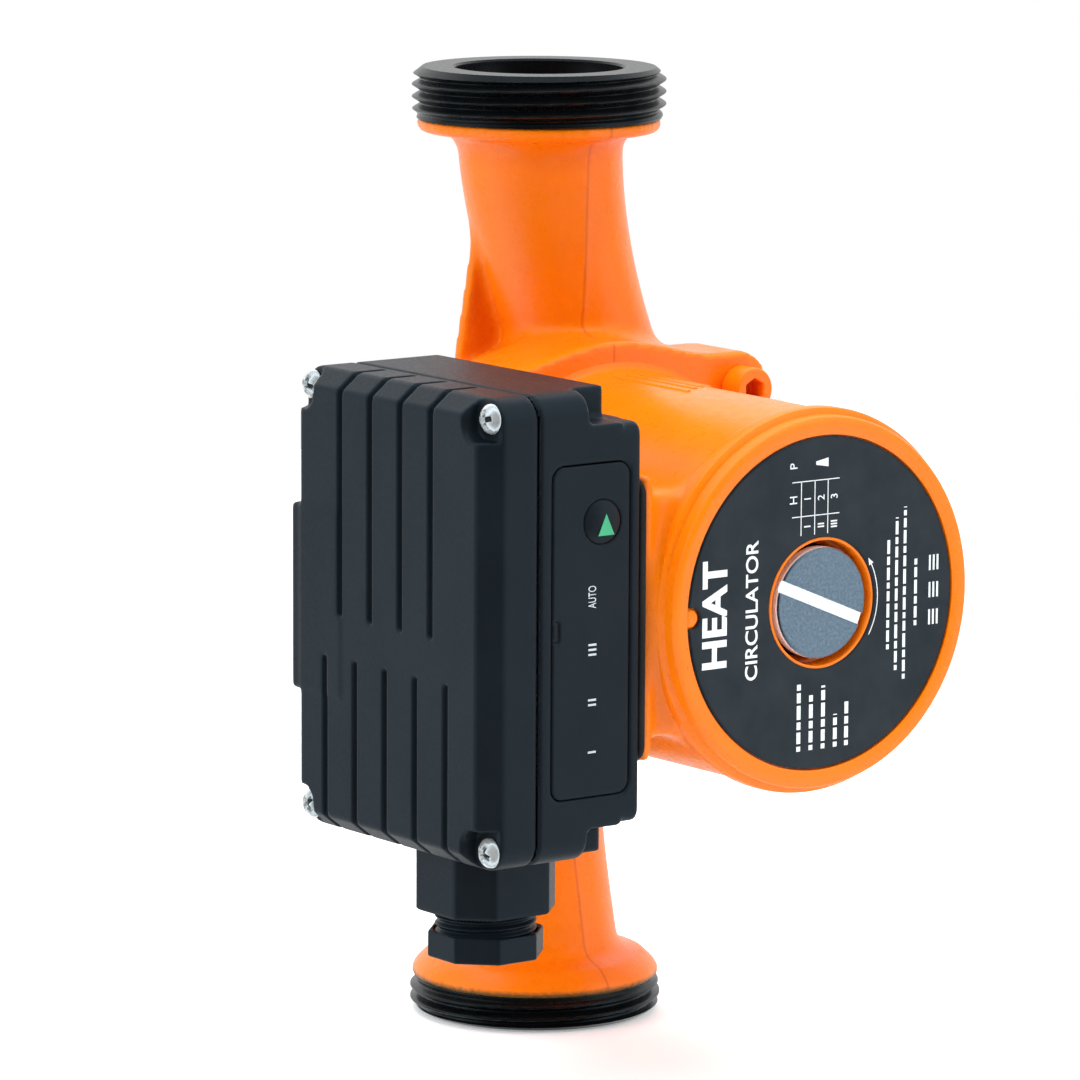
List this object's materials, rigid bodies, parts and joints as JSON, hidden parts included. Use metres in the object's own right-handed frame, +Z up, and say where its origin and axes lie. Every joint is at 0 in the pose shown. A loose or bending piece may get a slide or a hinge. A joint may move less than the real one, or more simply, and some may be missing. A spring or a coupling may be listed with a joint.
{
  "type": "circulator pump",
  "caption": "Wet-rotor circulator pump: in-line cast casing with threaded union ports, round motor housing, side control box, vent plug and cable gland.",
  "frame": {"origin": "centre of the flat pad on the back of the casing, on the motor axis, at mid-height between the two union faces", "axes": "+Z up along the pipe from inlet to outlet; -Y along the motor axis towards the vent plug; the control box is on the -X side; the pipe axis is at y = -28 mm"},
  "size_m": [0.1132, 0.1144, 0.18],
  "materials": {
    "orange_paint": "glossy sprayed paint over slightly rough cast metal",
    "bolt_paint": "the same paint sprayed over steel screws",
    "black_plastic": "fine spark-eroded satin texture",
    "panel_plastic": "satin film with light grey level marks",
    "label_film": null,
    "rubber": "matt moulded rubber",
    "bright_steel": "turned and plated",
    "sheet_steel": "pressed stainless sheet",
    "laminations": "stacked electrical sheet",
    "copper": "enamelled winding wire",
    "ceramic": "ground ceramic",
    "carbon": "sintered carbon",
    "impeller_plastic": "glass-filled moulding",
    "board": "green solder resist",
    "white_plastic": "clear or white moulding",
    "film_yellow": "dipped capacitor case"
  },
  "bodies": {
    "pump": {"pump_body": "orange_paint", "motor_housing": "orange_paint", "housing_bolt_1": "bolt_paint", "housing_bolt_2": "bolt_paint", "housing_bolt_3": "bolt_paint", "housing_bolt_4": "bolt_paint", "label_disc": "label_film", "control_box_base": "black_plastic", "control_box_cover": "black_plastic", "cover_gasket": "rubber", "cover_screw_1": "bright_steel", "cover_screw_2": "bright_steel", "cover_screw_3": "bright_steel", "cover_screw_4": "bright_steel", "base_screw_1": "bright_steel", "base_screw_2": "bright_steel", "box_seal_frame": "rubber", "side_panel": "panel_plastic", "mode_switch": "rubber", "display_board": "board", "light_guide": "white_plastic", "status_led_1": "white_plastic", "status_led_2": "white_plastic", "status_led_3": "white_plastic", "status_led_4": "white_plastic", "circuit_board": "board", "run_capacitor": "film_yellow", "film_capacitor": "film_yellow", "relay": "white_plastic", "choke": "copper", "terminal_block": "white_plastic", "terminal_screw_1": "bright_steel", "terminal_screw_2": "bright_steel", "terminal_screw_3": "bright_steel", "lead_connector": "white_plastic", "gland_seal": "rubber", "wear_ring": "sheet_steel", "bearing_plate": "sheet_steel", "housing_seal": "rubber", "rear_bearing": "carbon", "front_bearing": "carbon", "thrust_washer": "ceramic", "rotor_can": "sheet_steel", "can_seal": "rubber", "stator_core": "laminations", "stator_winding": "copper"},
    "rotor": {"shaft": "ceramic", "rotor_core": "laminations", "rotor_retaining_ring": "bright_steel", "impeller": "impeller_plastic"},
    "button": {"control_button": "panel_plastic", "switch_plunger": "white_plastic"},
    "plug_ring": {"plug_seal": "rubber"},
    "plug": {"vent_plug": "bright_steel"},
    "gland_ring": {"gland_washer": "bright_steel"},
    "gland": {"gland_nut": "black_plastic"}
  },
  "joints": [
    {"name": "rotor_spin", "type": "hinge", "parent": "pump", "child": "rotor", "pos_m": [0, 0, 0], "axis": [0, 1, 0], "continuous": true},
    {"name": "button_press", "type": "slide", "parent": "pump", "child": "button", "axis": [0, 1, 0], "range_m": [0, 0.0008], "stiffness_N_per_m": 1500},
    {"name": "plug_travel", "type": "slide", "parent": "pump", "child": "plug_ring", "axis": [0, -1, 0], "range_m": [0, 0.00535]},
    {"name": "plug_turn", "type": "hinge", "parent": "plug_ring", "child": "plug", "pos_m": [0, 0, 0], "axis": [0, -1, 0], "range_deg": [0, 1440]},
    {"name": "gland_travel", "type": "slide", "parent": "pump", "child": "gland_ring", "axis": [0, 0, -1], "range_m": [0, 0.00282]},
    {"name": "gland_turn", "type": "hinge", "parent": "gland_ring", "child": "gland", "pos_m": [-0.0505, -0.0814, 0], "axis": [0, 0, -1], "range_deg": [0, 720]}
  ],
  "couplings": [
    {"joint": "plug_turn", "follows": "plug_travel", "rad_per_m": 4699.5},
    {"joint": "gland_turn", "follows": "gland_travel", "rad_per_m": 4453}
  ]
}
